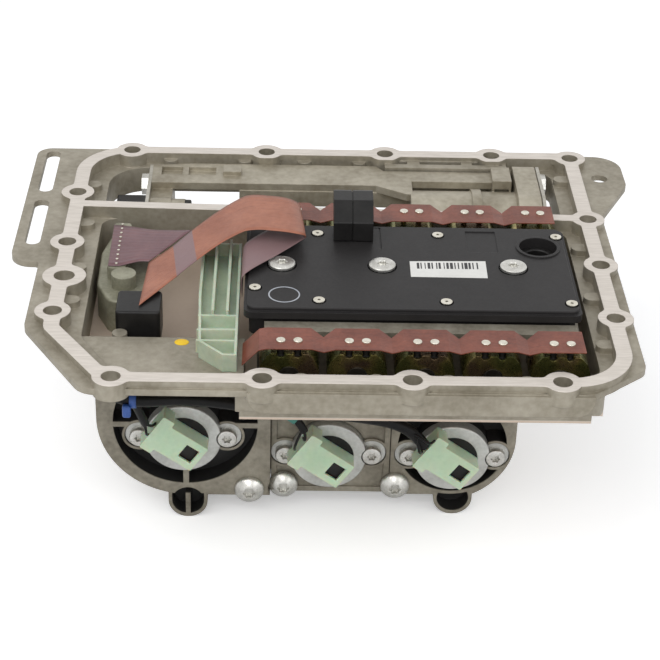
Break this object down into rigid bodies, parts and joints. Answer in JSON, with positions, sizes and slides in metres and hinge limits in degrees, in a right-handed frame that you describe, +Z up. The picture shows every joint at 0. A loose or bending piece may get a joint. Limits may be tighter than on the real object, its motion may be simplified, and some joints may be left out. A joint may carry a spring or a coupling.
{
  "type": "transmission control module",
  "caption": "Gearbox control module: cast pan with bolt flange, electronic control unit, solenoid valves, flat flexible circuits, shift actuator and cylinder block.",
  "frame": {"origin": "under the middle of the flange bolt rectangle, at the height of the feet it stands on", "axes": "+Z up and square to the sealing face, +X to the right and +Y to the rear as seen in the picture"},
  "size_m": [0.394, 0.308, 0.179],
  "materials": {
    "cast_aluminium": "die-cast, dull",
    "bright_casting": "machined, satin",
    "grey_casting": "cast, grey-olive",
    "plated_steel": "yellow chromate",
    "bright_steel": "bright zinc",
    "tin_pins": "tinned",
    "black_plastic": "satin",
    "pale_green_plastic": "semi matte",
    "copper_film": "semi gloss film",
    "board": "satin",
    "rubber_black": "matt"
  },
  "bodies": {
    "housing": {"actuator_bolts": "plated_steel", "actuator_plates": "plated_steel", "branch_flex": "copper_film", "cable_bracket": "pale_green_plastic", "circuit_board": "board", "control_base": "black_plastic", "control_cover": "black_plastic", "control_screws": "bright_steel", "cover_rivets": "tin_pins", "cylinder_block": "cast_aluminium", "cylinder_end_cover": "cast_aluminium", "end_cover_gaskets": "rubber_black", "flanged_screws": "bright_steel", "front_end_plates": "plated_steel", "front_flex": "copper_film", "front_solenoid_1": "plated_steel", "front_solenoid_2": "plated_steel", "front_solenoid_3": "plated_steel", "front_solenoid_4": "plated_steel", "front_solenoid_5": "plated_steel", "left_coil_head": "black_plastic", "left_end_cover": "cast_aluminium", "left_plug": "pale_green_plastic", "left_retainer": "bright_casting", "loop_flex": "copper_film", "main_housing": "cast_aluminium", "middle_coil_head": "black_plastic", "middle_end_cover": "cast_aluminium", "middle_plug": "pale_green_plastic", "middle_retainer": "bright_casting", "port_ring": "black_plastic", "position_sensor": "black_plastic", "rear_flex": "copper_film", "rear_solenoid_1": "plated_steel", "rear_solenoid_2": "plated_steel", "rear_solenoid_3": "plated_steel", "rear_solenoid_4": "plated_steel", "rear_solenoid_5": "plated_steel", "retainer_screws": "bright_steel", "right_coil_head": "black_plastic", "right_end_cover": "cast_aluminium", "right_plug": "pale_green_plastic", "right_retainer": "bright_casting", "rod_seal": "rubber_black", "shift_cylinder": "cast_aluminium", "side_plug": "black_plastic", "socket_pins": "tin_pins", "socket_unit": "grey_casting", "solenoid_coils": "black_plastic", "solenoid_cores": "bright_steel", "solenoid_pins": "tin_pins", "top_plug": "black_plastic", "valve_block": "cast_aluminium", "wiring_harness": "rubber_black"},
    "shift_rod_body": {"shift_rod": "bright_steel"},
    "plunger_body_1": {"front_plunger_1": "bright_steel"},
    "plunger_body_2": {"front_plunger_2": "bright_steel"},
    "plunger_body_3": {"front_plunger_3": "bright_steel"},
    "plunger_body_4": {"front_plunger_4": "bright_steel"},
    "plunger_body_5": {"front_plunger_5": "bright_steel"}
  },
  "joints": [
    {"name": "shift_rod_slide", "type": "slide", "parent": "housing", "child": "shift_rod_body", "axis": [1, 0, 0], "range_m": [0, 0.01]},
    {"name": "plunger_slide_1", "type": "slide", "parent": "housing", "child": "plunger_body_1", "axis": [0, -1, 0], "range_m": [0, 0.001], "stiffness_N_per_m": 500, "springref_m": -0.004},
    {"name": "plunger_slide_2", "type": "slide", "parent": "housing", "child": "plunger_body_2", "axis": [0, -1, 0], "range_m": [0, 0.001], "stiffness_N_per_m": 500, "springref_m": -0.004},
    {"name": "plunger_slide_3", "type": "slide", "parent": "housing", "child": "plunger_body_3", "axis": [0, -1, 0], "range_m": [0, 0.001], "stiffness_N_per_m": 500, "springref_m": -0.004},
    {"name": "plunger_slide_4", "type": "slide", "parent": "housing", "child": "plunger_body_4", "axis": [0, -1, 0], "range_m": [0, 0.001], "stiffness_N_per_m": 500, "springref_m": -0.004},
    {"name": "plunger_slide_5", "type": "slide", "parent": "housing", "child": "plunger_body_5", "axis": [0, -1, 0], "range_m": [0, 0.001], "stiffness_N_per_m": 500, "springref_m": -0.004}
  ]
}
